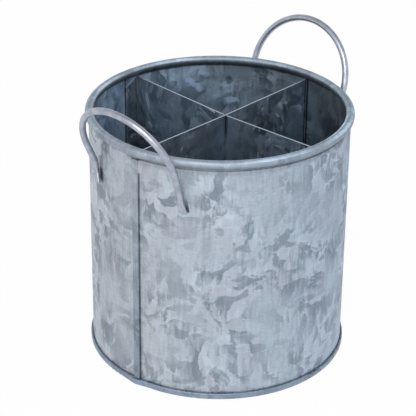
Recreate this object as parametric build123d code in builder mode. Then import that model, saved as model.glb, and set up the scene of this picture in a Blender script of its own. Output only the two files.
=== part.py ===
from build123d import *
import os
from math import acos, asin, atan2, cos, degrees, radians, sin, sqrt

# A round cutlery caddy of galvanised sheet steel: a rolled wall with a wired rim and a grooved
# lock seam, a flat base folded round the wall's foot, two crossed dividers and two wire handles.
# Millimetres, +Z up. The origin is the middle of the base's flat underside, the long divider
# lies along X, and the front handle and the lock seam are at -X.

# Sheet of the wall and the base
sheet_thickness = 0.4
fold_gap = 0.05
overrun_length = 5.0
pitch = sheet_thickness + fold_gap
turn_reach = pitch + sheet_thickness / 2

# Body wall
wall_radius = 75.0
rim_height = 150.0
wall_middle = wall_radius - sheet_thickness / 2

# Wired rim: the wall necks in, then curls over the inside, the top and the outside of the wire
bead_diameter = 5.1
bead_inset = 0.4
mouth_gap = 0.1
neck_turn = 70.0
bead_radius = bead_diameter / 2
bead_circle = wall_middle - bead_inset
bead_height = rim_height - bead_radius
curl_radius = bead_radius - sheet_thickness / 2
neck_radius = (bead_inset + curl_radius * cos(radians(neck_turn))) / (1 - cos(radians(neck_turn)))
neck_span = curl_radius + neck_radius
neck_height = bead_height - neck_span * sin(radians(neck_turn))
mouth_reach = neck_radius + sheet_thickness + mouth_gap
mouth_cosine = (curl_radius**2 + neck_span**2 - mouth_reach**2) / (2 * curl_radius * neck_span)
curl_turn = 360 - degrees(acos(mouth_cosine))
rim_wire_radius = bead_radius - sheet_thickness - fold_gap

# Base seam: seen from the wall outwards, the base's hem, the wall's flange and the base's panel
band_height = 3.7
base_corner_radius = 0.6
hem_radius = wall_middle + pitch
flange_radius = wall_middle + 2 * pitch
panel_radius = wall_middle + 3 * pitch
foot_fold_height = sheet_thickness + fold_gap + turn_reach
band_fold_height = band_height - turn_reach
floor_middle = sheet_thickness / 2
floor_edge = panel_radius - base_corner_radius

# Swelling of the base seam where it takes in the lock seam
swell_depth = 1.2
swell_angle = 186.6
swell_radius = 6.0
swell_fillet_radius = 0.6
swell_inset = 0.2
swell_reach = panel_radius + sheet_thickness / 2 + swell_depth

# Lock seam: both ends of the wall's sheet are folded back and hooked into each other
seam_angle = 187.2
seam_overlap_width = 2.6
joggle_radius = 1.35
seam_margin = 1.0
seam_half_angle = degrees(seam_overlap_width / 2 / wall_middle)
seam_left = seam_angle - seam_half_angle
seam_right = seam_angle + seam_half_angle
joggle_rise = 3 * pitch
joggle_inner = wall_middle + joggle_radius
joggle_outer = wall_middle + joggle_rise - joggle_radius
joggle_squares = joggle_inner**2 + joggle_outer**2 - (2 * joggle_radius)**2
joggle_cosine = joggle_squares / (2 * joggle_inner * joggle_outer)
joggle_left = seam_left - degrees(acos(joggle_cosine))
window_left = joggle_left - degrees(seam_margin / wall_middle)
window_right = seam_right + degrees((turn_reach + seam_margin) / wall_middle)
window_turn = window_right - window_left
seam_foot = band_height + fold_gap

# Top of the lock seam: pressed shut against the wall below the neck
seam_shut_height = 7.5
seam_ramp_length = 3.0
seam_ramp_end = seam_right + degrees(seam_ramp_length / wall_middle)

# Lap of the curled edge over the lock seam: thick at its crease, fading along the rim
lap_angle = 184.1
lap_length = 12.7
lap_thickness = 1.3
lap_stations = 4
lap_direction = -35.0
lap_shift_share = 0.55

# Dividers
divider_thickness = 0.9
divider_bend_radius = 1.2
divider_depth = 5.6
long_near_depth = 8.8
crossing_depth = 7.8
tab_width = 7.5
tab_mitre_height = 5.0
cross_offset = 4.5
slot_clearance = 0.5
slot_height_share = 0.5
divider_foot = sheet_thickness + fold_gap
tab_radius = wall_radius - sheet_thickness - fold_gap - divider_thickness / 2

# Handles: round wire with flattened feet, each foot touching the wall along one edge
handle_wire_diameter = 3.8
foot_width = 4.6
foot_end_width = 5.8
foot_thickness = 2.0
foot_length = 9.0
foot_twist = 20.0
foot_drift_width = 1.6
foot_blend_length = 3.5
foot_corner_radius = 0.7
foot_depth = 22.5
front_angle = 185.05
front_lean_angle = 22.3
front_foot_spacing = 61.0
front_splay_width = 1.6
front_leg_length = 15.5
rear_angle = 5.25
rear_lean_angle = 16.9
rear_foot_spacing = 64.3
rear_splay_width = 1.25
rear_leg_length = 16.9
foot_top = rim_height - foot_depth
foot_edge = (foot_end_width - foot_thickness) / 2
foot_seat = wall_radius + fold_gap + foot_thickness / 2 + foot_edge * sin(radians(foot_twist))


def polar(radius, angle, height=0):
    return Vector(radius * cos(radians(angle)), radius * sin(radians(angle)), height)


def heading(angle):
    return polar(1, angle)


# Lap in the curled rim, hollow where the curl and its wire run through it
with BuildPart() as rim_lap:
    for station in range(lap_stations):
        along_share = station / (lap_stations - 1)
        thickness = lap_thickness * (1 - along_share)
        angle = lap_angle + degrees(lap_length / bead_circle) * along_share
        origin = polar(bead_circle, angle, bead_height)
        with BuildSketch(Plane(origin, x_dir=heading(angle), z_dir=heading(angle - 90))):
            with Locations(polar(thickness * lap_shift_share, lap_direction)):
                Circle(bead_radius + thickness * (1 - lap_shift_share) - fold_gap * along_share)
    loft()
    with BuildSketch(Plane.XZ):
        with Locations((bead_circle, bead_height)):
            Circle(curl_radius)
    revolve(axis=Axis.Z, mode=Mode.SUBTRACT)

# Outermost layer of the lock seam, running on up into the curled rim
with BuildPart() as seam_top:
    with BuildSketch(Plane.XY.offset(neck_height)):
        with BuildLine() as outer_layer:
            CenterArc((0, 0), wall_middle + joggle_rise, seam_left, seam_right - seam_left)
        SlotArc(outer_layer.wire(), sheet_thickness)
    extrude(amount=bead_height - neck_height)
    with BuildSketch(Plane.XZ):
        with Locations((bead_circle, bead_height)):
            Circle(curl_radius)
    revolve(axis=Axis.Z, mode=Mode.SUBTRACT)

# Body wall: flange, foot fold, plain wall, neck and curl as one bent strip, turned about the axis
with BuildPart() as body_wall:
    with BuildSketch(Plane.XZ):
        with BuildLine() as wall_line:
            Line((flange_radius, band_fold_height), (flange_radius, foot_fold_height))
            CenterArc((hem_radius, foot_fold_height), pitch, 0, -180)
            Line((wall_middle, foot_fold_height), (wall_middle, neck_height))
            CenterArc((wall_middle - neck_radius, neck_height), neck_radius, 0, neck_turn)
            CenterArc((bead_circle, bead_height), curl_radius, 180 + neck_turn, -curl_turn)
        SlotArc(wall_line.wire(), sheet_thickness)
    revolve(axis=Axis.Z)

    # Window for the lock seam, between the base seam and the neck
    with BuildSketch(Plane.XY.offset(seam_foot)):
        with BuildLine():
            inner_arc = CenterArc((0, 0), wall_radius - overrun_length, window_left, window_turn)
            outer_arc = CenterArc((0, 0), wall_radius + overrun_length, window_left, window_turn)
            Line(inner_arc @ 0, outer_arc @ 0)
            Line(inner_arc @ 1, outer_arc @ 1)
        make_face()
    extrude(amount=neck_height - seam_foot, mode=Mode.SUBTRACT)

    # The edge that steps out and hooks back under, then the edge that is hooked by it
    with BuildSketch(Plane.XY.offset(seam_foot)):
        with BuildLine() as hooking_edge:
            step_start = polar(wall_middle, joggle_left)
            step_end = polar(wall_middle + joggle_rise, seam_left)
            step_middle = (polar(joggle_inner, joggle_left) + polar(joggle_outer, seam_left)) / 2
            margin_angle = joggle_left - window_left
            CenterArc((0, 0), wall_middle, window_left - margin_angle, 2 * margin_angle)
            first_bend = TangentArc(step_start, step_middle, tangent=heading(joggle_left + 90))
            TangentArc(step_middle, step_end, tangent=first_bend % 1)
            CenterArc((0, 0), wall_middle + joggle_rise, seam_left, seam_right - seam_left)
            CenterArc(polar(wall_middle + 2 * pitch, seam_right), pitch, seam_right, 180)
            CenterArc((0, 0), wall_middle + pitch, seam_right, seam_left - seam_right)
        SlotArc(hooking_edge.wire(), sheet_thickness)
        with BuildLine() as hooked_edge:
            hooked_start = window_right + margin_angle
            CenterArc((0, 0), wall_middle, hooked_start, seam_left - hooked_start)
            CenterArc(polar(wall_middle + pitch, seam_left), pitch, seam_left + 180, 180)
            CenterArc((0, 0), wall_middle + 2 * pitch, seam_left, seam_right - seam_left)
        SlotArc(hooked_edge.wire(), sheet_thickness)
    extrude(amount=neck_height - seam_foot)

    # Below the neck the hook's edge is pressed down to the wall
    with BuildSketch(Plane.XY.offset(neck_height)):
        with BuildLine():
            Polyline(
                polar(wall_middle, seam_right),
                polar(wall_middle + joggle_rise, seam_right),
                polar(wall_middle, seam_ramp_end),
                close=True,
            )
        make_face()
    extrude(amount=-seam_shut_height)
    add(seam_top.part)
    add(rim_lap.part)
body_wall.part.label = "body_wall"

# Rim wire: a plain ring inside the curl
with BuildPart() as rim_wire:
    with BuildSketch(Plane.XZ):
        with Locations((bead_circle, bead_height)):
            Circle(rim_wire_radius)
    revolve(axis=Axis.Z)
rim_wire.part.label = "rim_wire"

# Swelling of the base's panel: a soft corner with straight flanks, hollow inside the panel
with BuildPart() as band_swell:
    with BuildSketch(Plane.XY.offset(swell_inset)):
        with BuildLine():
            CenterArc((0, 0), panel_radius, 0, 360)
            CenterArc(polar(swell_reach - swell_radius, swell_angle), swell_radius, 0, 360)
        make_hull()
    extrude(amount=band_height - 2 * swell_inset)
    fillet(band_swell.edges().filter_by(Plane.XY), swell_fillet_radius)
    with BuildSketch(Plane.XY):
        Circle(panel_radius - sheet_thickness / 4)
    extrude(amount=band_height, mode=Mode.SUBTRACT)

# Base: a flat floor whose edge turns up, over the wall's flange and down behind it
with BuildPart() as base:
    with BuildSketch(Plane.XZ):
        with BuildLine() as base_line:
            Line((hem_radius - overrun_length, floor_middle), (floor_edge, floor_middle))
            CenterArc((floor_edge, floor_middle + base_corner_radius), base_corner_radius, -90, 90)
            Line((panel_radius, floor_middle + base_corner_radius), (panel_radius, band_fold_height))
            CenterArc((flange_radius, band_fold_height), pitch, 0, 180)
            Line((hem_radius, band_fold_height), (hem_radius, foot_fold_height))
        SlotArc(base_line.wire(), sheet_thickness)
        Rectangle(hem_radius - overrun_length, sheet_thickness, align=(Align.MIN, Align.MIN))
    revolve(axis=Axis.Z)
    add(band_swell.part)
base.part.label = "base"


def make_divider(plane, offset, crossing, near_depth, slot_from_top):
    """Panel with a tab folded along the wall at each end, anticlockwise seen from above."""
    bend_circle = tab_radius - divider_bend_radius
    far_bend = (sqrt(bend_circle**2 - (offset + divider_bend_radius)**2), offset + divider_bend_radius)
    near_bend = (-sqrt(bend_circle**2 - (offset - divider_bend_radius)**2), offset - divider_bend_radius)
    far_angle = degrees(atan2(far_bend[1], far_bend[0]))
    near_angle = degrees(atan2(near_bend[1], near_bend[0])) % 360
    tab_turn = degrees(tab_width / tab_radius)
    side_plane = Plane(plane.origin, x_dir=plane.x_dir, z_dir=-plane.y_dir)
    slot_width = divider_thickness + 2 * slot_clearance
    near_height = rim_height - near_depth
    far_height = rim_height - divider_depth
    crossing_height = rim_height - crossing_depth
    above = rim_height + overrun_length
    slot_level = divider_foot + (crossing_height - divider_foot) * slot_height_share
    with BuildPart() as divider:
        with BuildSketch(plane.offset(divider_foot)):
            with BuildLine() as plan:
                CenterArc((0, 0), tab_radius, near_angle + tab_turn, -tab_turn)
                CenterArc(near_bend, divider_bend_radius, near_angle, 90 - near_angle)
                Line((near_bend[0], offset), (far_bend[0], offset))
                CenterArc(far_bend, divider_bend_radius, -90, far_angle + 90)
                CenterArc((0, 0), tab_radius, far_angle, tab_turn)
            SlotArc(plan.wire(), divider_thickness)
        extrude(amount=rim_height - divider_foot)

        # Top edge that dips towards the crossing, and the slot for the other divider
        with BuildSketch(side_plane):
            with BuildLine():
                Polyline(
                    (-wall_radius, near_height),
                    (crossing, crossing_height),
                    (wall_radius, far_height),
                    (wall_radius, above),
                    (-wall_radius, above),
                    close=True,
                )
            make_face()
            if slot_from_top:
                with Locations((crossing, slot_level - fold_gap)):
                    Rectangle(slot_width, rim_height - slot_level, align=(Align.CENTER, Align.MIN))
            else:
                with Locations((crossing, slot_level)):
                    Rectangle(slot_width, slot_level, align=(Align.CENTER, Align.MAX))
        extrude(amount=wall_radius, both=True, mode=Mode.SUBTRACT)

        # Mitred top of each tab
        far_end = (far_bend, far_angle, far_height, 1)
        near_end = (near_bend, near_angle, near_height, -1)
        for bend, tip_angle, end_height, side in (far_end, near_end):
            tip = tab_radius * sin(radians(tip_angle + tab_turn))
            beyond = tip + side * overrun_length
            end_origin = plane.origin + plane.x_dir * bend[0]
            with BuildSketch(Plane(end_origin, x_dir=plane.y_dir, z_dir=plane.x_dir)):
                with BuildLine():
                    Polyline(
                        (offset, end_height),
                        (tip, end_height - tab_mitre_height),
                        (beyond, end_height - tab_mitre_height),
                        (beyond, above),
                        (offset, above),
                        close=True,
                    )
                make_face()
            extrude(amount=side * (divider_bend_radius + overrun_length), mode=Mode.SUBTRACT)
    return divider.part


long_divider = make_divider(Plane.XY, 0, cross_offset, long_near_depth, False)
long_divider.label = "long_divider"
cross_plane = Plane((0, 0, 0), x_dir=(0, 1, 0), z_dir=(0, 0, 1))
cross_divider = make_divider(cross_plane, -cross_offset, 0, divider_depth, True)
cross_divider.label = "cross_divider"


def make_handle(angle, lean_angle, foot_spacing, splay_width, leg_length):
    """Wire arch on two legs, leaning out from the line through the tops of its flattened feet."""
    half_spacing = foot_spacing / 2
    arch_radius = half_spacing + splay_width
    arch_rise = sqrt(arch_radius**2 + leg_length**2 - half_spacing**2)
    below = degrees(atan2(arch_rise, half_spacing) - atan2(leg_length, arch_radius))
    along = heading(angle + 90)
    upward = polar(sin(radians(lean_angle)), angle, cos(radians(lean_angle)))
    chord_middle = polar(sqrt(foot_seat**2 - half_spacing**2), angle, foot_top)
    arch_plane = Plane(chord_middle, x_dir=along, z_dir=along.cross(upward))
    foot = Vector(half_spacing, 0)
    shoulder = Vector(0, arch_rise) + polar(arch_radius, -below)
    leg_start = foot + (shoulder - foot).normalized() * foot_blend_length
    foot_turn = degrees(asin(half_spacing / foot_seat))
    drift_turn = degrees(foot_drift_width / foot_seat)
    with BuildPart() as handle:
        with BuildLine(arch_plane) as arch:
            Line((leg_start.X, leg_start.Y), (shoulder.X, shoulder.Y))
            CenterArc((0, arch_rise), arch_radius, -below, 180 + 2 * below)
            Line((-shoulder.X, shoulder.Y), (-leg_start.X, leg_start.Y))
        wire_line = arch.wire()
        with BuildSketch(Plane(wire_line @ 0, z_dir=wire_line % 0)):
            Circle(handle_wire_diameter / 2)
        sweep(path=wire_line)

        # Each leg flattens into a foot that widens and drifts a little along the wall
        for end, side in ((0, 1), (1, -1)):
            foot_angle = angle + side * foot_turn
            end_angle = foot_angle + drift_turn
            foot_origin = polar(foot_seat, foot_angle, foot_top - foot_blend_length)
            end_origin = polar(foot_seat, end_angle, foot_top - foot_length)
            foot_plane = Plane(foot_origin, x_dir=heading(foot_angle + 90 - foot_twist), z_dir=(0, 0, 1))
            end_plane = Plane(end_origin, x_dir=heading(end_angle + 90 - foot_twist), z_dir=(0, 0, 1))
            with BuildSketch(foot_plane):
                SlotOverall(foot_width, foot_thickness)
            with BuildSketch(Plane(wire_line @ end, x_dir=along, z_dir=(wire_line % end) * side)):
                Circle(handle_wire_diameter / 2)
            loft()
            with BuildSketch(end_plane):
                SlotOverall(foot_end_width, foot_thickness)
            with BuildSketch(foot_plane):
                SlotOverall(foot_width, foot_thickness)
            loft()
        fillet(handle.faces().filter_by(Plane.XY).edges(), foot_corner_radius)
    return handle.part


front_handle = make_handle(
    front_angle, front_lean_angle, front_foot_spacing, front_splay_width, front_leg_length
)
front_handle.label = "front_handle"
rear_handle = make_handle(
    rear_angle, rear_lean_angle, rear_foot_spacing, rear_splay_width, rear_leg_length
)
rear_handle.label = "rear_handle"

os.makedirs("parts", exist_ok=True)
export_step(body_wall.part, "parts/body_wall.step")
export_step(rim_wire.part, "parts/rim_wire.step")
export_step(base.part, "parts/base.step")
export_step(long_divider, "parts/long_divider.step")
export_step(cross_divider, "parts/cross_divider.step")
export_step(front_handle, "parts/front_handle.step")
export_step(rear_handle, "parts/rear_handle.step")
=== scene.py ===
import bpy
from math import cos, radians, sin
from mathutils import Matrix, Vector

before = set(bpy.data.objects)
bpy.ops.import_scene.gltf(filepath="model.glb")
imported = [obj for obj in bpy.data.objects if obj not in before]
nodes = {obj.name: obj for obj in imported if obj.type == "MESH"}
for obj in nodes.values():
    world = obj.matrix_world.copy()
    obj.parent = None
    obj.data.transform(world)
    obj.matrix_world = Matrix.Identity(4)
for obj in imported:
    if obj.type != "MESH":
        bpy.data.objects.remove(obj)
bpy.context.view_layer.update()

MM = 0.001

# The photograph's viewpoint, in millimetres in the part's own frame
CAMERA_PLACE = (-622.65, -601.29, 527.32)
CAMERA_TARGET = (-4.25, 4.40, 83.73)
CAMERA_ROLL_DEGREES = 0.65
CAMERA_LENS = 143.0
CAMERA_SENSOR = 36.0
CAMERA_SIGHT_METRES = 100.0

# The paper under the caddy, and how far it is lifted to plain white
FLOOR_METRES = 4.0
FLOOR_ROUGHNESS = 0.9
FLOOR_WHITENESS = 0.96

# The room, by the upward part of a direction in it: where its walls end and its ceiling is reached
ROOM_WALLS_END = 0.2
ROOM_CEILING = 0.9

# Sizes and depths of the patterns in the zinc, in millimetres
FLOW_WIDTH = 28.0
FLOW_DRIFT = 30.0
STREAK_WIDTH = 1.8
STREAK_LENGTH = 11.0
STROKE_WIDTH = 0.9
STROKE_LENGTH = 5.0
CLUSTER_SIZE = 26.0
CLOUD_SIZE = 24.0
STIPPLE_SIZE = 1.1
STIPPLE_DEPTH = 0.05
DENT_SIZE = 18.0
DENT_DEPTH = 1.2
BLOTCH_SIZE = 5.0
BLOTCH_DEPTH = 0.05

# Sizes of the crystals and of the push that makes them ragged, as shares of the sheet's spangle
LARGE_CRYSTAL_SHARE = 0.85
LARGE_PUSH_SHARE = 0.6
SMALL_CRYSTAL_SHARE = 0.5
SMALL_PUSH_SHARE = 0.5

# How the crystals are drawn: rags and change of tone across one, softness of the outlines, how much the
# streaks break up large and small ones, the tone of calm patches, and the share of the stipple
RAGS_PER_CRYSTAL = 1.4
TONE_ACROSS_CRYSTAL = 1.4
CRYSTAL_SOFTNESS = 0.05
LARGE_FRINGE = 0.8
SMALL_FRINGE = 0.5
CALM_TONE = 0.75
STIPPLE_SHARE = 0.5

# How far roughness strays from a finish's own value: on dark and pale crystals, and along the wire
DARK_SMOOTHER = 0.08
PALE_ROUGHER = 0.04
WIRE_SPREAD = 0.1

# Heights and distances from the axis at which the wall's finish changes, in millimetres
WALL_RADIUS = 75.0
WALL_INSIDE = 74.8
RIM_INSIDE = 74.4
RIM_FOOT = 144.0
ROLL_FOOT = 144.6
RIM_FADE = 1.0

# Bands of painted shade, painted highlights and tints: both ends and the fade outside them, in millimetres.
# The handles stand along x, the front one at the low end, y runs across and z up from the underside
BELOW_RIM_Z = (0.0, RIM_FOOT, RIM_FADE)
FRONT_HIGHLIGHT_X = (-34.0, -18.0, 16.0)
REAR_HIGHLIGHT_X = (16.0, 34.0, 14.0)
UNDER_RIM_SHADOW_Z = (142.5, 145.6, 2.5)
RIM_GAP_SHADE_Z = (144.0, 145.0, 0.6)
RIM_INNER_SHADE_Z = (145.0, 148.0, 1.2)
FAR_RIM_SHADE_X = (51.0, 64.0, 6.0)
FAR_RIM_SHADE_Z = (136.0, 143.0, 5.0)
BASE_CREASE_SHADE_Z = (0.0, 4.2, 0.7)
SEAM_STRIP_Y = (-11.2, -6.9, 0.8)
SEAM_SLIT_SHADE_Y = (-11.75, -11.4, 0.25)
SEAM_SLIT_SHADE_Z = (0.0, 134.5, 1.5)
FOOT_SHADOW_Z = (119.0, 126.0, 1.5)
RIGHT_FOOT_SHADOW_Y = (-59.8, -58.7, 0.4)
LEFT_FOOT_SHADOW_Y = (20.6, 22.0, 0.4)
LONG_DIVIDER_SHADE_Y = (-1.6, -0.6, 0.3)
FAR_TAB_SHADE_X = (-4.4, 5.0, 0.4)
FAR_TAB_EDGE_SHADE_X = (-5.3, -4.4, 0.3)
LONG_FOLD_SHADE_Y = (-1.3, 1.3, 0.3)
CROSS_FOLD_SHADE_X = (3.2, 5.8, 0.3)
SLOT_X = (3.9, 5.1, 0.2)
SLOT_Y = (-2.3, 2.3, 0.3)
SLOT_Z = (134.0, 150.0, 12.0)

# The same for the painted highlight on the rim's shoulders, by the upward part of the way they face
RIM_HIGHLIGHT_FACING = (0.62, 0.88, 0.15)

# Gradual changes: where each starts and where it is complete, in millimetres
TINT_AND_SHADE_START, TINT_AND_SHADE_END = -40.0, 70.0
RIM_FRONT_X, RIM_SIDE_X = -72.0, -52.0
LAP_LEFT_Y, LAP_RIGHT_Y = -2.0, -9.0
SIDE_X, BACK_X = -20.0, 20.0
STRIP_TOP_Z, STRIP_DARK_Z = 140.0, 30.0
FOOT_TOP_Z, FOOT_DARK_Z = 127.0, 121.0
FRONT_START, FRONT_DARK = -2.5, 2.5
FAR_END_START_Y, FAR_END_DARK_Y = 48.0, 72.0
FOLD_START, FOLD_DARK = 72.5, 73.2

# The same for the sheared edges and their painted highlight, by the upward part of the way they face
SHEARED_START, SHEARED_BARE = 0.6, 0.9

# Level directions: the one in which the painted shade inside and the colder tint outside grow, and the one to
# the front between two dividers
TINT_AND_SHADE_WAY = (0.7, -0.7, 0.0)
FRONT_WAY = (-0.7, -0.7, 0.0)

# The right foot leans, and adding this share of the height to y sets its painted shadow upright
FOOT_LEAN = -0.17

# What lies further than this along x or y, in millimetres, is the far side of the wall
FAR_SIDE = 60.0

# How far rolling calms the crystals of the rim, and towards what tone
RIM_CALM = 0.6
RIM_TONE = 0.42

# Brightness of the rim off its shoulders, under the painted highlight on them, and where that highlight is
# brightest
RIM_OFF_HIGHLIGHT = 0.91
RIM_HIGHLIGHT = 1.12
RIM_HIGHLIGHT_PEAK = 1.62

# Share of the painted rim shadow left inside, and of the seam strip's tint and painted shade at its top
INSIDE_SHADOW_SHARE = 0.4
STRIP_TOP_SHARE = 0.3

# What tints and painted light and shade do to red, green, blue and alpha
UNTOUCHED = (1.0, 1.0, 1.0, 1.0)
# Inside, a painted bluer light, and painted shade towards one side
INSIDE_PAINTED_BLUE = (0.98, 1.13, 1.22, 1.0)
INSIDE_PAINTED_SHADE = (0.41, 0.43, 0.42, 1.0)
OUTSIDE_WARM = (1.06, 1.0, 0.95, 1.0)
OUTSIDE_COLD = (0.97, 1.0, 1.02, 1.0)
RIM_FRONT = (1.06, 1.02, 0.99, 1.0)
RIM_SIDES = (0.97, 1.0, 1.0, 1.0)
SEAM_TINT_AND_SHADE = (0.65, 0.7, 0.76, 1.0)
DIVIDER_PAINTED_LIGHT = (1.2, 1.18, 1.12, 1.0)
DIVIDER_COOL_SIDE = (1.0, 1.03, 1.06, 1.0)

# Colours of painted glints, of painted highlight patches, of sheared steel with a painted highlight, and of
# the stage
GLINT_COLOUR = "#D0E0EC"
PAINTED_HIGHLIGHT_COLOUR = "#C0D6F2"
SHEARED_STEEL_AND_HIGHLIGHT = "#C0CCDD"
PAPER = "#F2F2F2"
WHITE = "#FFFFFF"

# Painted highlight patches on the far side of the inside: the angle round the wall in degrees, the height,
# half length and half width in millimetres, the slant in degrees, and how pale each one is
PAINTED_HIGHLIGHT_PATCHES = (
    (56.5, 132.0, 8.5, 2.6, 35.0, 1.0),
    (38.0, 121.0, 6.0, 2.6, 0.0, 0.9),
    (43.0, 125.5, 7.0, 2.2, -20.0, 0.4),
    (50.0, 138.5, 7.0, 1.6, 5.0, 0.5),
    (67.5, 135.0, 2.0, 4.0, 0.0, 0.5),
)

# How far a painted highlight patch reaches through the wall, and the size and push of its rags, in
# millimetres
PATCH_DEPTH = 20.0
PATCH_RAG_SIZE = 4.0
PATCH_RAG_PUSH = 6.0

# A noise's value lies about this middle, and its or a crystal's colour about this grey
MIDDLE = 0.5
MID_GREY = (MIDDLE, MIDDLE, MIDDLE)

# Sockets of a Mix node, which carries one set for plain numbers and one for colours
MIX_PLAIN_A, MIX_PLAIN_B = 2, 3
MIX_A, MIX_B, MIX_RESULT = 6, 7, 2


def linear(hex_colour):
    """An sRGB hex colour as linear red, green, blue and alpha."""
    parts = [int(hex_colour[i:i + 2], 16) / 255 for i in (1, 3, 5)]
    return [p / 12.92 if p <= 0.04045 else ((p + 0.055) / 1.055) ** 2.4 for p in parts] + [1.0]


def add(tree, kind, inputs=None, **settings):
    """A node with its settings; an input is a plain value or the socket that feeds it."""
    node = tree.nodes.new(kind)
    for name, value in settings.items():
        setattr(node, name, value)
    for socket, value in (inputs or {}).items():
        if isinstance(value, bpy.types.NodeSocket):
            tree.links.new(value, node.inputs[socket])
        else:
            node.inputs[socket].default_value = value
    return node


def new_material(name, metallic=1.0):
    """A material of one shader, with the tree and the shader to work on."""
    material = bpy.data.materials.new(name)
    material.use_nodes = True
    tree = material.node_tree
    shader = tree.nodes["Principled BSDF"]
    shader.inputs["Metallic"].default_value = metallic
    return material, tree, shader


def zinc_crystals(tree, place_mm, size_mm, push_mm):
    """Frozen zinc crystals with ragged outlines: each one's tone, which shades across it, and its lean."""
    uneven = add(tree, "ShaderNodeTexNoise", {
        "Vector": place_mm, "Scale": RAGS_PER_CRYSTAL / size_mm, "Detail": 4.0,
        "Roughness": 0.65}).outputs["Color"]
    push = add(tree, "ShaderNodeVectorMath", {
        0: uneven, 1: MID_GREY}, operation="SUBTRACT").outputs["Vector"]
    pushed = add(tree, "ShaderNodeVectorMath", {
        0: push, 1: (push_mm, push_mm, push_mm), 2: place_mm}, operation="MULTIPLY_ADD").outputs["Vector"]
    grid = add(tree, "ShaderNodeVectorMath", {
        0: pushed, "Scale": 1 / size_mm}, operation="SCALE").outputs["Vector"]
    crystal = add(tree, "ShaderNodeTexVoronoi", {
        "Vector": grid, "Scale": 1.0, "Smoothness": CRYSTAL_SOFTNESS}, feature="SMOOTH_F1")
    lean = add(tree, "ShaderNodeVectorMath", {
        0: crystal.outputs["Color"], 1: MID_GREY}, operation="SUBTRACT").outputs["Vector"]
    inside = add(tree, "ShaderNodeVectorMath", {
        0: grid, 1: crystal.outputs["Position"]}, operation="SUBTRACT").outputs["Vector"]
    across = add(tree, "ShaderNodeVectorMath", {
        0: inside, 1: lean}, operation="DOT_PRODUCT").outputs["Value"]
    chance = add(tree, "ShaderNodeSeparateColor", {"Color": crystal.outputs["Color"]}).outputs["Red"]
    tone = add(tree, "ShaderNodeMath", {
        0: across, 1: TONE_ACROSS_CRYSTAL, 2: chance}, operation="MULTIPLY_ADD").outputs["Value"]
    return tone, lean


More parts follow.
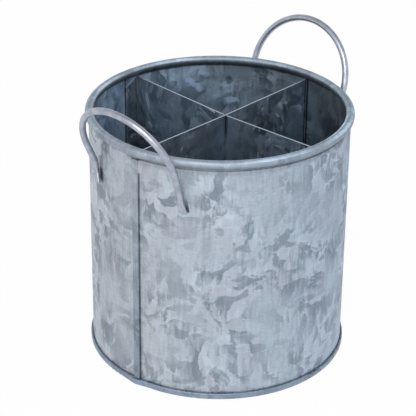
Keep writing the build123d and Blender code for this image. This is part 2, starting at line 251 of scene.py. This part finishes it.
def galvanised(
        name, pale, dark, lilac, spangle_mm, tilt, roughness, flecked, drawn_from, calm=None, finish=None):
    """Hot-dipped zinc on steel sheet. The zinc freezes in crystals a few millimetres across, each
    turned its own way, so pale and darker patches lie side by side, sharp at one edge and soft at another."""
    material, tree, shader = new_material(name)
    place = add(tree, "ShaderNodeTexCoord").outputs["Object"]
    part_mm = add(tree, "ShaderNodeVectorMath", {
        0: place, "Scale": 1 / MM}, operation="SCALE").outputs["Vector"]
    place_mm = add(tree, "ShaderNodeVectorMath", {
        0: part_mm, 1: drawn_from}, operation="ADD").outputs["Vector"]

    # The zinc flowed before it froze, which drew the crystals out in curves and left broken streaks
    flow = add(tree, "ShaderNodeTexNoise", {
        "Vector": place_mm, "Scale": 1 / FLOW_WIDTH, "Detail": 1.0}).outputs["Color"]
    drift = add(tree, "ShaderNodeVectorMath", {
        0: flow, 1: MID_GREY}, operation="SUBTRACT").outputs["Vector"]
    flowed_mm = add(tree, "ShaderNodeVectorMath", {
        0: drift, 1: (FLOW_DRIFT, FLOW_DRIFT, FLOW_DRIFT), 2: place_mm},
        operation="MULTIPLY_ADD").outputs["Vector"]
    streak_place = add(tree, "ShaderNodeVectorMath", {
        0: place_mm, 1: (1 / STREAK_WIDTH, 1 / STREAK_WIDTH, 1 / STREAK_LENGTH)},
        operation="MULTIPLY").outputs["Vector"]
    streak = add(tree, "ShaderNodeTexNoise", {
        "Vector": streak_place, "Scale": 1.0, "Detail": 3.0, "Roughness": 0.6}).outputs["Fac"]
    fringe = add(tree, "ShaderNodeMath", {0: streak, 1: MIDDLE}, operation="SUBTRACT").outputs["Value"]

    # Large crystals, busier in some places than in others
    large_tone, large_lean = zinc_crystals(
        tree, flowed_mm, LARGE_CRYSTAL_SHARE * spangle_mm, LARGE_PUSH_SHARE * spangle_mm)
    large_fringed = add(tree, "ShaderNodeMath", {
        0: fringe, 1: LARGE_FRINGE, 2: large_tone}, operation="MULTIPLY_ADD").outputs["Value"]
    spread = add(tree, "ShaderNodeMapRange", {
        "Value": large_fringed, "From Min": -0.06, "From Max": 0.5}).outputs["Result"]
    gathered = add(tree, "ShaderNodeTexNoise", {
        "Vector": place_mm, "Scale": 1 / CLUSTER_SIZE, "Detail": 1.0}).outputs["Fac"]
    busy = add(tree, "ShaderNodeMapRange", {
        "Value": gathered, "From Min": 0.39, "From Max": 0.6, "To Min": 0.3, "To Max": 1.0}).outputs["Result"]

    # Small sharp crystals, of which the few that face away look like dark wedges
    small_tone, small_lean = zinc_crystals(
        tree, flowed_mm, SMALL_CRYSTAL_SHARE * spangle_mm, SMALL_PUSH_SHARE * spangle_mm)
    small_fringed = add(tree, "ShaderNodeMath", {
        0: fringe, 1: SMALL_FRINGE, 2: small_tone}, operation="MULTIPLY_ADD").outputs["Value"]
    wedge = add(tree, "ShaderNodeMapRange", {
        "Value": small_fringed, "From Min": 0.02, "From Max": 0.34,
        "To Min": 0.25, "To Max": 1.0}).outputs["Result"]
    both = add(tree, "ShaderNodeMath", {0: spread, 1: wedge}, operation="MULTIPLY").outputs["Value"]
    both = add(tree, "ShaderNodeMix", {
        "Factor": busy, MIX_PLAIN_A: CALM_TONE, MIX_PLAIN_B: both}).outputs["Result"]

    # Fine stipple, and wide faint changes of tint
    stipple = add(tree, "ShaderNodeTexNoise", {
        "Vector": place_mm, "Scale": 1 / STIPPLE_SIZE, "Detail": 2.0, "Roughness": 0.6}).outputs["Fac"]
    patch = add(tree, "ShaderNodeMath", {
        0: stipple, 1: STIPPLE_SHARE, 2: both}, operation="MULTIPLY_ADD").outputs["Value"]
    patch = add(tree, "ShaderNodeMapRange", {
        "Value": patch, "From Min": 0.25, "From Max": 1.25}).outputs["Result"]
    if calm:
        patch = calm(tree, part_mm, patch)
    cloud = add(tree, "ShaderNodeTexNoise", {
        "Vector": place_mm, "Scale": 1 / CLOUD_SIZE, "Detail": 2.0}).outputs["Fac"]
    tint = add(tree, "ShaderNodeMapRange", {
        "Value": cloud, "From Min": 0.42, "From Max": 0.66, "To Max": 0.9}).outputs["Result"]

    # The streaks, and wiping strokes across them. Real strokes are hair-fine, so these are drawn as wide as
    # they need to be to show
    streak_gain = add(tree, "ShaderNodeMapRange", {
        "Value": streak, "From Min": 0.25, "From Max": 0.75,
        "To Min": 0.92, "To Max": 1.08}).outputs["Result"]
    stroke_place = add(tree, "ShaderNodeVectorMath", {
        0: place_mm, 1: (1 / STROKE_LENGTH, 1 / STROKE_LENGTH, 1 / STROKE_WIDTH)},
        operation="MULTIPLY").outputs["Vector"]
    stroke = add(tree, "ShaderNodeTexNoise", {
        "Vector": stroke_place, "Scale": 1.0, "Detail": 2.0, "Roughness": 0.6}).outputs["Fac"]
    stroke_gain = add(tree, "ShaderNodeMapRange", {
        "Value": stroke, "From Min": 0.3, "From Max": 0.7, "To Min": 0.95, "To Max": 1.05}).outputs["Result"]
    gain = add(tree, "ShaderNodeMath", {
        0: streak_gain, 1: stroke_gain}, operation="MULTIPLY").outputs["Value"]

    pale_tinted = add(tree, "ShaderNodeMix", {
        "Factor": tint, MIX_A: linear(pale), MIX_B: linear(lilac)}, data_type="RGBA").outputs[MIX_RESULT]
    zinc = add(tree, "ShaderNodeMix", {
        "Factor": patch, MIX_A: linear(dark), MIX_B: pale_tinted}, data_type="RGBA").outputs[MIX_RESULT]
    streaked = add(tree, "ShaderNodeVectorMath", {
        0: zinc, "Scale": gain}, operation="SCALE").outputs["Vector"]

    # Where crystals gather, a few small ones are painted as bright flecks: painted glints
    facing_light = add(tree, "ShaderNodeMapRange", {
        "Value": small_fringed, "From Min": 0.76, "From Max": 1.0, "To Max": flecked}).outputs["Result"]
    clustered = add(tree, "ShaderNodeMapRange", {
        "Value": gathered, "From Min": 0.45, "From Max": 0.58}).outputs["Result"]
    glint = add(tree, "ShaderNodeMath", {
        0: facing_light, 1: clustered}, operation="MULTIPLY").outputs["Value"]
    colour = add(tree, "ShaderNodeMix", {
        "Factor": glint, MIX_A: streaked, MIX_B: linear(GLINT_COLOUR)}, data_type="RGBA").outputs[MIX_RESULT]
    if finish:
        colour = finish(tree, part_mm, colour)
    tree.links.new(colour, shader.inputs["Base Color"])
    dulled = add(tree, "ShaderNodeMapRange", {
        "Value": patch, "To Min": roughness - DARK_SMOOTHER,
        "To Max": roughness + PALE_ROUGHER}).outputs["Result"]
    tree.links.new(dulled, shader.inputs["Roughness"])

    # Each crystal leans a little, and the sheet is faintly dented and stippled
    facing = add(tree, "ShaderNodeNewGeometry").outputs["Normal"]
    lean = add(tree, "ShaderNodeVectorMath", {
        0: large_lean, 1: small_lean}, operation="ADD").outputs["Vector"]
    leaning = add(tree, "ShaderNodeVectorMath", {
        0: lean, 1: (tilt, tilt, tilt), 2: facing}, operation="MULTIPLY_ADD").outputs["Vector"]
    leaning_unit = add(tree, "ShaderNodeVectorMath", {0: leaning}, operation="NORMALIZE").outputs["Vector"]
    dents = add(tree, "ShaderNodeTexNoise", {
        "Vector": place_mm, "Scale": 1 / DENT_SIZE, "Detail": 1.0}).outputs["Fac"]
    dented = add(tree, "ShaderNodeBump", {
        "Height": dents, "Distance": DENT_DEPTH * MM, "Strength": 0.5,
        "Normal": leaning_unit}).outputs["Normal"]
    grained = add(tree, "ShaderNodeBump", {
        "Height": stipple, "Distance": STIPPLE_DEPTH * MM, "Strength": 0.6,
        "Normal": dented}).outputs["Normal"]
    tree.links.new(grained, shader.inputs["Normal"])
    return material


def band(tree, value, low, high, fade):
    """1 between two values, such as heights in millimetres, fading to 0 just outside them."""
    rising = add(tree, "ShaderNodeMapRange", {
        "Value": value, "From Min": low - fade, "From Max": low},
        interpolation_type="SMOOTHSTEP").outputs["Result"]
    falling = add(tree, "ShaderNodeMapRange", {
        "Value": value, "From Min": high, "From Max": high + fade, "To Min": 1.0, "To Max": 0.0},
        interpolation_type="SMOOTHSTEP").outputs["Result"]
    return add(tree, "ShaderNodeMath", {0: rising, 1: falling}, operation="MULTIPLY").outputs["Value"]


def overlap(tree, *masks):
    """1 where all the masks are 1."""
    mask = masks[0]
    for other in masks[1:]:
        mask = add(tree, "ShaderNodeMath", {0: mask, 1: other}, operation="MULTIPLY").outputs["Value"]
    return mask


def shaded(tree, colour, *masks, share):
    """A colour brought down to a share of itself where all the masks are 1."""
    mask = overlap(tree, *masks)
    gain = add(tree, "ShaderNodeMapRange", {"Value": mask, "To Min": 1.0, "To Max": share}).outputs["Result"]
    return add(tree, "ShaderNodeVectorMath", {0: colour, "Scale": gain}, operation="SCALE").outputs["Vector"]


def from_axis(tree, part_mm):
    """Distance from the upright axis of the round wall, in millimetres."""
    flat = add(tree, "ShaderNodeVectorMath", {
        0: part_mm, 1: (1.0, 1.0, 0.0)}, operation="MULTIPLY").outputs["Vector"]
    return add(tree, "ShaderNodeVectorMath", {0: flat}, operation="LENGTH").outputs["Value"]


def tint_and_shade_side(tree, part_mm):
    """0 to 1 across the caddy, towards the side with painted shade inside and on the dividers, and a colder
    outside.
    """
    reach = add(tree, "ShaderNodeVectorMath", {
        0: part_mm, 1: TINT_AND_SHADE_WAY}, operation="DOT_PRODUCT").outputs["Value"]
    return add(tree, "ShaderNodeMapRange", {
        "Value": reach, "From Min": TINT_AND_SHADE_START, "From Max": TINT_AND_SHADE_END}).outputs["Result"]


def rolled_rim(tree, part_mm, patch):
    """Rolling the edge over its wire smooths the crystals of the rim towards one middle tone."""
    height = add(tree, "ShaderNodeSeparateXYZ", {"Vector": part_mm}).outputs["Z"]
    rim = add(tree, "ShaderNodeMapRange", {
        "Value": height, "From Min": ROLL_FOOT, "From Max": ROLL_FOOT + RIM_FADE,
        "To Max": RIM_CALM}).outputs["Result"]
    return add(tree, "ShaderNodeMix", {
        "Factor": rim, MIX_PLAIN_A: patch, MIX_PLAIN_B: RIM_TONE}).outputs["Result"]


def with_painted_highlights(tree, part_mm, colour, inside):
    """Ragged pale painted highlights on the far side of the dull inside."""
    uneven = add(tree, "ShaderNodeTexNoise", {
        "Vector": part_mm, "Scale": 1 / PATCH_RAG_SIZE, "Detail": 3.0}).outputs["Color"]
    push = add(tree, "ShaderNodeVectorMath", {
        0: uneven, 1: MID_GREY}, operation="SUBTRACT").outputs["Vector"]
    ragged_mm = add(tree, "ShaderNodeVectorMath", {
        0: push, 1: (PATCH_RAG_PUSH, PATCH_RAG_PUSH, PATCH_RAG_PUSH), 2: part_mm},
        operation="MULTIPLY_ADD").outputs["Vector"]
    for angle, height, half_length, half_width, slant, paleness in PAINTED_HIGHLIGHT_PATCHES:
        turn = radians(angle)
        middle = (WALL_RADIUS * cos(turn), WALL_RADIUS * sin(turn), height)
        within = add(tree, "ShaderNodeMapping", {
            "Vector": ragged_mm, "Location": middle, "Rotation": (radians(slant), 0.0, turn),
            "Scale": (PATCH_DEPTH, half_length, half_width)}, vector_type="TEXTURE").outputs["Vector"]
        reach = add(tree, "ShaderNodeVectorMath", {0: within}, operation="LENGTH").outputs["Value"]
        painted_highlight = add(tree, "ShaderNodeMapRange", {
            "Value": reach, "From Min": 1.0, "From Max": 0.6, "To Max": paleness}).outputs["Result"]
        painted_highlight = add(tree, "ShaderNodeMath", {0: painted_highlight, 1: inside}, operation="MULTIPLY").outputs["Value"]
        colour = add(tree, "ShaderNodeMix", {
            "Factor": painted_highlight, MIX_A: colour, MIX_B: linear(PAINTED_HIGHLIGHT_COLOUR)}, data_type="RGBA").outputs[MIX_RESULT]
    return colour


def wall_folds(tree, part_mm, colour):
    """Painted shade in the folds of the wall, tints and painted light, and painted highlights on the rim and
    inside.
    """
    axes = add(tree, "ShaderNodeSeparateXYZ", {"Vector": part_mm})
    along, across, height = axes.outputs["X"], axes.outputs["Y"], axes.outputs["Z"]
    front = add(tree, "ShaderNodeMath", {0: along, 1: 0.0}, operation="LESS_THAN").outputs["Value"]

    # Inside, painted light makes the zinc a bluer grey than outside, and painted shade darkens it towards one
    # side, where it also turns browner. Outside, the zinc turns a colder grey towards that side
    radius = from_axis(tree, part_mm)
    inside = add(tree, "ShaderNodeMath", {0: radius, 1: WALL_INSIDE}, operation="LESS_THAN").outputs["Value"]
    below_rim = band(tree, height, *BELOW_RIM_Z)
    dull = add(tree, "ShaderNodeMath", {0: inside, 1: below_rim}, operation="MULTIPLY").outputs["Value"]
    tint_and_shade = tint_and_shade_side(tree, part_mm)
    inside_painted_light = add(tree, "ShaderNodeMix", {
        "Factor": tint_and_shade, MIX_A: INSIDE_PAINTED_BLUE, MIX_B: INSIDE_PAINTED_SHADE}, data_type="RGBA").outputs[MIX_RESULT]
    outside_tint = add(tree, "ShaderNodeMix", {
        "Factor": tint_and_shade, MIX_A: OUTSIDE_WARM, MIX_B: OUTSIDE_COLD}, data_type="RGBA").outputs[MIX_RESULT]
    tint_and_painted_light = add(tree, "ShaderNodeMix", {
        "Factor": dull, MIX_A: outside_tint, MIX_B: inside_painted_light}, data_type="RGBA").outputs[MIX_RESULT]

    # The rolled rim is a cold grey but for its front. A painted highlight brightens its shoulders, most of
    # all in two places on each side
    rim = add(tree, "ShaderNodeMapRange", {
        "Value": height, "From Min": RIM_FOOT, "From Max": RIM_FOOT + RIM_FADE}).outputs["Result"]
    facing = add(tree, "ShaderNodeNewGeometry").outputs["True Normal"]
    upward = add(tree, "ShaderNodeSeparateXYZ", {"Vector": facing}).outputs["Z"]
    highlight_facing = band(tree, upward, *RIM_HIGHLIGHT_FACING)
    highlight_stretch = add(tree, "ShaderNodeMath", {
        0: band(tree, along, *FRONT_HIGHLIGHT_X), 1: band(tree, along, *REAR_HIGHLIGHT_X)},
        operation="MAXIMUM").outputs["Value"]
    highlight_peak = add(tree, "ShaderNodeMapRange", {
        "Value": highlight_stretch, "To Min": RIM_HIGHLIGHT, "To Max": RIM_HIGHLIGHT_PEAK}).outputs["Result"]
    painted_highlight = add(tree, "ShaderNodeMapRange", {
        "Value": highlight_facing, "To Min": RIM_OFF_HIGHLIGHT, "To Max": highlight_peak}).outputs["Result"]
    past_front = add(tree, "ShaderNodeMapRange", {
        "Value": along, "From Min": RIM_FRONT_X, "From Max": RIM_SIDE_X}).outputs["Result"]
    rim_grey = add(tree, "ShaderNodeMix", {
        "Factor": past_front, MIX_A: RIM_FRONT, MIX_B: RIM_SIDES}, data_type="RGBA").outputs[MIX_RESULT]
    rim_tint_and_highlight = add(tree, "ShaderNodeVectorMath", {
        0: rim_grey, "Scale": painted_highlight}, operation="SCALE").outputs["Vector"]
    tint_and_painted_light = add(tree, "ShaderNodeMix", {
        "Factor": rim, MIX_A: tint_and_painted_light, MIX_B: rim_tint_and_highlight}, data_type="RGBA").outputs[MIX_RESULT]
    colour = add(tree, "ShaderNodeVectorMath", {
        0: colour, 1: tint_and_painted_light}, operation="MULTIPLY").outputs["Vector"]
    colour = with_painted_highlights(tree, part_mm, colour, dull)

    # Painted shadow under the rim, right of its lap and round the back, and less of it inside
    open_curl = add(tree, "ShaderNodeMapRange", {
        "Value": across, "From Min": LAP_LEFT_Y, "From Max": LAP_RIGHT_Y}).outputs["Result"]
    behind = add(tree, "ShaderNodeMapRange", {
        "Value": along, "From Min": SIDE_X, "From Max": BACK_X}).outputs["Result"]
    curl = add(tree, "ShaderNodeMath", {0: open_curl, 1: behind}, operation="MAXIMUM").outputs["Value"]
    outside = add(tree, "ShaderNodeMapRange", {
        "Value": inside, "To Min": 1.0, "To Max": INSIDE_SHADOW_SHARE}).outputs["Result"]
    rim_shadow_reach = add(tree, "ShaderNodeMath", {0: curl, 1: outside}, operation="MULTIPLY").outputs["Value"]
    colour = shaded(tree, colour, band(tree, height, *UNDER_RIM_SHADOW_Z), rim_shadow_reach, share=0.85)
    colour = shaded(tree, colour, band(tree, height, *RIM_GAP_SHADE_Z), rim_shadow_reach, share=0.42)

    # A patch of painted shade inside, under the far part of the rim
    far_rim_shade_height = band(tree, height, *FAR_RIM_SHADE_Z)
    colour = shaded(tree, colour, band(tree, along, *FAR_RIM_SHADE_X), far_rim_shade_height, dull, share=0.6)

    # Painted shade on the lower inner half of the rolled rim
    inner_half = add(tree, "ShaderNodeMath", {
        0: radius, 1: RIM_INSIDE}, operation="LESS_THAN").outputs["Value"]
    colour = shaded(tree, colour, band(tree, height, *RIM_INNER_SHADE_Z), inner_half, share=0.38)

    # Painted shade at the foot of the wall, over the base band
    colour = shaded(tree, colour, band(tree, height, *BASE_CREASE_SHADE_Z), share=0.72)

    # Along the lock seam: its strip, a darker blue grey made of a bluer tint and painted shade, and painted
    # shade in the slit at its open edge
    lower = add(tree, "ShaderNodeMapRange", {
        "Value": height, "From Min": STRIP_TOP_Z, "From Max": STRIP_DARK_Z,
        "To Min": STRIP_TOP_SHARE}).outputs["Result"]
    strip = overlap(tree, band(tree, across, *SEAM_STRIP_Y), lower, front)
    seam_tint_and_shade = add(tree, "ShaderNodeMix", {
        "Factor": strip, MIX_A: UNTOUCHED, MIX_B: SEAM_TINT_AND_SHADE}, data_type="RGBA").outputs[MIX_RESULT]
    colour = add(tree, "ShaderNodeVectorMath", {
        0: colour, 1: seam_tint_and_shade}, operation="MULTIPLY").outputs["Vector"]
    slit_shade_height = band(tree, height, *SEAM_SLIT_SHADE_Z)
    colour = shaded(tree, colour, band(tree, across, *SEAM_SLIT_SHADE_Y), slit_shade_height, front, share=0.66)

    # Painted shadow behind the raised edges of the front handle's feet
    foot_shadow_height = band(tree, height, *FOOT_SHADOW_Z)
    slanted = add(tree, "ShaderNodeMath", {
        0: height, 1: FOOT_LEAN, 2: across}, operation="MULTIPLY_ADD").outputs["Value"]
    lower_half = add(tree, "ShaderNodeMapRange", {
        "Value": height, "From Min": FOOT_TOP_Z, "From Max": FOOT_DARK_Z}).outputs["Result"]
    right_foot_shadow = band(tree, slanted, *RIGHT_FOOT_SHADOW_Y)
    colour = shaded(tree, colour, right_foot_shadow, foot_shadow_height, lower_half, front, share=0.2)
    colour = shaded(tree, colour, band(tree, across, *LEFT_FOOT_SHADOW_Y), foot_shadow_height, front, share=0.2)

    # Painted shade inside, at the long divider's far end, round the cross divider's far tab and at the tab's
    # free edge
    far_end = add(tree, "ShaderNodeMath", {
        0: along, 1: FAR_SIDE}, operation="GREATER_THAN").outputs["Value"]
    far_side = add(tree, "ShaderNodeMath", {
        0: across, 1: FAR_SIDE}, operation="GREATER_THAN").outputs["Value"]
    colour = shaded(tree, colour, band(tree, across, *LONG_DIVIDER_SHADE_Y), far_end, dull, share=0.2)
    colour = shaded(tree, colour, band(tree, along, *FAR_TAB_SHADE_X), far_side, dull, share=0.6)
    return shaded(tree, colour, band(tree, along, *FAR_TAB_EDGE_SHADE_X), far_side, dull, share=0.3)


def divider_edges(tree, part_mm, colour):
    """Painted light and a tint across the dividers, painted shade in the folds at the ends of the dividers
    and in the slot where they cross, and sheared top edges of bare bright steel, partly a painted highlight."""
    axes = add(tree, "ShaderNodeSeparateXYZ", {"Vector": part_mm})
    along, across, height = axes.outputs["X"], axes.outputs["Y"], axes.outputs["Z"]
    # Painted light: brighter and warmer towards one side of the dividers
    tint_and_painted_light = add(tree, "ShaderNodeMix", {
        "Factor": tint_and_shade_side(tree, part_mm), MIX_A: DIVIDER_PAINTED_LIGHT, MIX_B: DIVIDER_COOL_SIDE},
        data_type="RGBA").outputs[MIX_RESULT]
    colour = add(tree, "ShaderNodeVectorMath", {
        0: colour, 1: tint_and_painted_light}, operation="MULTIPLY").outputs["Vector"]

    # Painted shade on their front halves, and on the cross divider's far end
    ahead = add(tree, "ShaderNodeVectorMath", {
        0: part_mm, 1: FRONT_WAY}, operation="DOT_PRODUCT").outputs["Value"]
    front_half = add(tree, "ShaderNodeMapRange", {
        "Value": ahead, "From Min": FRONT_START, "From Max": FRONT_DARK}).outputs["Result"]
    colour = shaded(tree, colour, front_half, share=0.77)
    far_end = add(tree, "ShaderNodeMapRange", {
        "Value": across, "From Min": FAR_END_START_Y, "From Max": FAR_END_DARK_Y}).outputs["Result"]
    colour = shaded(tree, colour, far_end, share=0.65)

    # Painted shade in the folds by the wall, and in the slot
    by_the_wall = add(tree, "ShaderNodeMapRange", {
        "Value": from_axis(tree, part_mm), "From Min": FOLD_START, "From Max": FOLD_DARK}).outputs["Result"]
    colour = shaded(tree, colour, band(tree, across, *LONG_FOLD_SHADE_Y), by_the_wall, share=0.3)
    colour = shaded(tree, colour, band(tree, along, *CROSS_FOLD_SHADE_X), by_the_wall, share=0.65)
    colour = shaded(
        tree, colour, band(tree, along, *SLOT_X), band(tree, across, *SLOT_Y), band(tree, height, *SLOT_Z),
        share=0.25)

    # The sheared edges: bare steel, and a painted highlight where they face up
    facing = add(tree, "ShaderNodeNewGeometry").outputs["True Normal"]
    upward = add(tree, "ShaderNodeSeparateXYZ", {"Vector": facing}).outputs["Z"]
    sheared_and_highlit = add(tree, "ShaderNodeMapRange", {
        "Value": upward, "From Min": SHEARED_START, "From Max": SHEARED_BARE}).outputs["Result"]
    return add(tree, "ShaderNodeMix", {
        "Factor": sheared_and_highlit, MIX_A: colour, MIX_B: linear(SHEARED_STEEL_AND_HIGHLIGHT)}, data_type="RGBA").outputs[MIX_RESULT]


def drawn_wire(name, pale, dark, roughness):
    """Bright galvanised wire: a thin smooth coat wiped in the drawing die, so a soft highlight runs
    along it, with only faint duller blotches."""
    material, tree, shader = new_material(name)
    place = add(tree, "ShaderNodeTexCoord").outputs["Object"]
    place_mm = add(tree, "ShaderNodeVectorMath", {
        0: place, "Scale": 1 / MM}, operation="SCALE").outputs["Vector"]
    blotch = add(tree, "ShaderNodeTexNoise", {
        "Vector": place_mm, "Scale": 1 / BLOTCH_SIZE, "Detail": 2.0, "Roughness": 0.5}).outputs["Fac"]
    wiped = add(tree, "ShaderNodeMapRange", {
        "Value": blotch, "From Min": 0.35, "From Max": 0.65},
        interpolation_type="SMOOTHSTEP").outputs["Result"]
    colour = add(tree, "ShaderNodeMix", {
        "Factor": wiped, MIX_A: linear(dark), MIX_B: linear(pale)}, data_type="RGBA").outputs[MIX_RESULT]
    tree.links.new(colour, shader.inputs["Base Color"])
    dulled = add(tree, "ShaderNodeMapRange", {
        "Value": blotch, "To Min": roughness + WIRE_SPREAD,
        "To Max": roughness - WIRE_SPREAD}).outputs["Result"]
    tree.links.new(dulled, shader.inputs["Roughness"])
    grained = add(tree, "ShaderNodeBump", {
        "Height": blotch, "Distance": BLOTCH_DEPTH * MM, "Strength": 0.1}).outputs["Normal"]
    tree.links.new(grained, shader.inputs["Normal"])
    return material


def dress(node_name, material):
    """Puts a finish in a piece's only slot."""
    mesh = nodes[node_name].data
    mesh.materials.clear()
    mesh.materials.append(material)


def seen_ray(tree):
    """1 for a ray from the camera, or one that left metal or glass, and 0 for other light."""
    path = add(tree, "ShaderNodeLightPath").outputs
    metal = add(tree, "ShaderNodeMath", {
        0: path["Is Camera Ray"], 1: path["Is Glossy Ray"]}, operation="MAXIMUM").outputs["Value"]
    return add(tree, "ShaderNodeMath", {
        0: metal, 1: path["Is Transmission Ray"]}, operation="MAXIMUM").outputs["Value"]


def studio_floor():
    """A sheet of matt white paper for the caddy to stand on."""
    bpy.ops.object.select_all(action="DESELECT")
    bpy.ops.mesh.primitive_plane_add(size=FLOOR_METRES)
    floor = bpy.context.object
    floor.name = "studio_floor"
    material, tree, shader = new_material("matt_white_paper", metallic=0.0)
    shader.inputs["Base Color"].default_value = linear(PAPER)
    shader.inputs["Roughness"].default_value = FLOOR_ROUGHNESS

    # Seen straight or in the metal the paper is nearly white, and still keeps a faint soft shadow
    seen = seen_ray(tree)
    share = add(tree, "ShaderNodeMath", {0: seen, 1: FLOOR_WHITENESS}, operation="MULTIPLY").outputs["Value"]
    glow = add(tree, "ShaderNodeEmission", {"Color": linear(WHITE), "Strength": 1.0}).outputs["Emission"]
    paper = add(tree, "ShaderNodeMixShader", {
        0: share, 1: shader.outputs["BSDF"], 2: glow}).outputs["Shader"]
    tree.links.new(paper, tree.nodes["Material Output"].inputs["Surface"])
    floor.data.materials.append(material)


def softbox(name, place, target, size, power):
    """A flat lamp turned to its target, in metres and watts."""
    light = bpy.data.lights.new(name, "AREA")
    light.shape = "RECTANGLE"
    light.size, light.size_y = size
    light.energy = power
    lamp = bpy.data.objects.new(name, light)
    bpy.context.scene.collection.objects.link(lamp)
    lamp.location = place
    lamp.rotation_euler = (Vector(target) - Vector(place)).to_track_quat("-Z", "Y").to_euler()


def white_room(horizon, zenith):
    """Pale walls all round and a dimmer ceiling."""
    world = bpy.data.worlds.new("white_room")
    bpy.context.scene.world = world
    world.use_nodes = True
    tree = world.node_tree
    background = tree.nodes["Background"]
    background.inputs["Color"].default_value = linear(WHITE)
    ray = add(tree, "ShaderNodeTexCoord").outputs["Generated"]
    upward = add(tree, "ShaderNodeSeparateXYZ", {"Vector": ray}).outputs["Z"]
    level = add(tree, "ShaderNodeMapRange", {
        "Value": upward, "From Min": ROOM_WALLS_END, "From Max": ROOM_CEILING,
        "To Min": horizon, "To Max": zenith}).outputs["Result"]
    tree.links.new(level, background.inputs["Strength"])


def photo_camera():
    """A camera at the photograph's viewpoint, turned and rolled as it was held."""
    camera = bpy.data.objects.new("photo_camera", bpy.data.cameras.new("photo_camera"))
    bpy.context.scene.collection.objects.link(camera)
    camera.data.sensor_width = CAMERA_SENSOR
    camera.data.lens = CAMERA_LENS
    camera.data.clip_end = CAMERA_SIGHT_METRES
    place = Vector(CAMERA_PLACE) * MM
    forward = (Vector(CAMERA_TARGET) * MM - place).normalized()
    right = forward.cross(Vector((0, 0, 1))).normalized()
    up = right.cross(forward)
    roll = radians(CAMERA_ROLL_DEGREES)
    turned_right = right * cos(roll) + up * sin(roll)
    turned_up = up * cos(roll) - right * sin(roll)
    camera.matrix_world = Matrix((
        (turned_right.x, turned_up.x, -forward.x, place.x),
        (turned_right.y, turned_up.y, -forward.y, place.y),
        (turned_right.z, turned_up.z, -forward.z, place.z),
        (0, 0, 0, 1),
    ))
    bpy.context.scene.camera = camera


# The wall is the palest sheet, with the largest spangle
wall_zinc = galvanised(
    "hot_dip_galvanised_sheet", pale="#BBC8D5", dark="#8794A3", lilac="#B5BDCB", spangle_mm=12.0, tilt=0.1,
    roughness=0.66, flecked=0.3, drawn_from=(11.0, 4.0, 23.0), calm=rolled_rim, finish=wall_folds)

# The base has the smallest spangle, and so looks the most even
base_zinc = galvanised(
    "hot_dip_galvanised_base", pale="#98A8BA", dark="#7E8D9D", lilac="#949EAE", spangle_mm=7.0, tilt=0.1,
    roughness=0.62, flecked=0.3, drawn_from=(3.0, 31.0, 8.0))

# The dividers are smoother, darker and bluer as painted shade, and carry more painted glints
divider_zinc = galvanised(
    "hot_dip_galvanised_divider", pale="#94A6B7", dark="#6F808F", lilac="#909CB1", spangle_mm=10.0, tilt=0.14,
    roughness=0.58, flecked=1.0, drawn_from=(7.0, 15.0, 2.0), finish=divider_edges)

# The wire is the smoothest metal of all
wire_zinc = drawn_wire("galvanised_drawn_wire", pale="#B6BBC7", dark="#A3A9B7", roughness=0.42)

dress("body_wall", wall_zinc)
dress("base", base_zinc)
dress("long_divider", divider_zinc)
dress("cross_divider", divider_zinc)
dress("rim_wire", wire_zinc)
dress("front_handle", wire_zinc)
dress("rear_handle", wire_zinc)

studio_floor()
softbox("front_softbox", place=(-1.0, -0.7, 0.95), target=(0, 0, 0.1), size=(0.7, 0.7), power=12.0)
white_room(horizon=1.0, zenith=0.5)
photo_camera()
bpy.context.scene.view_settings.view_transform = "Standard"
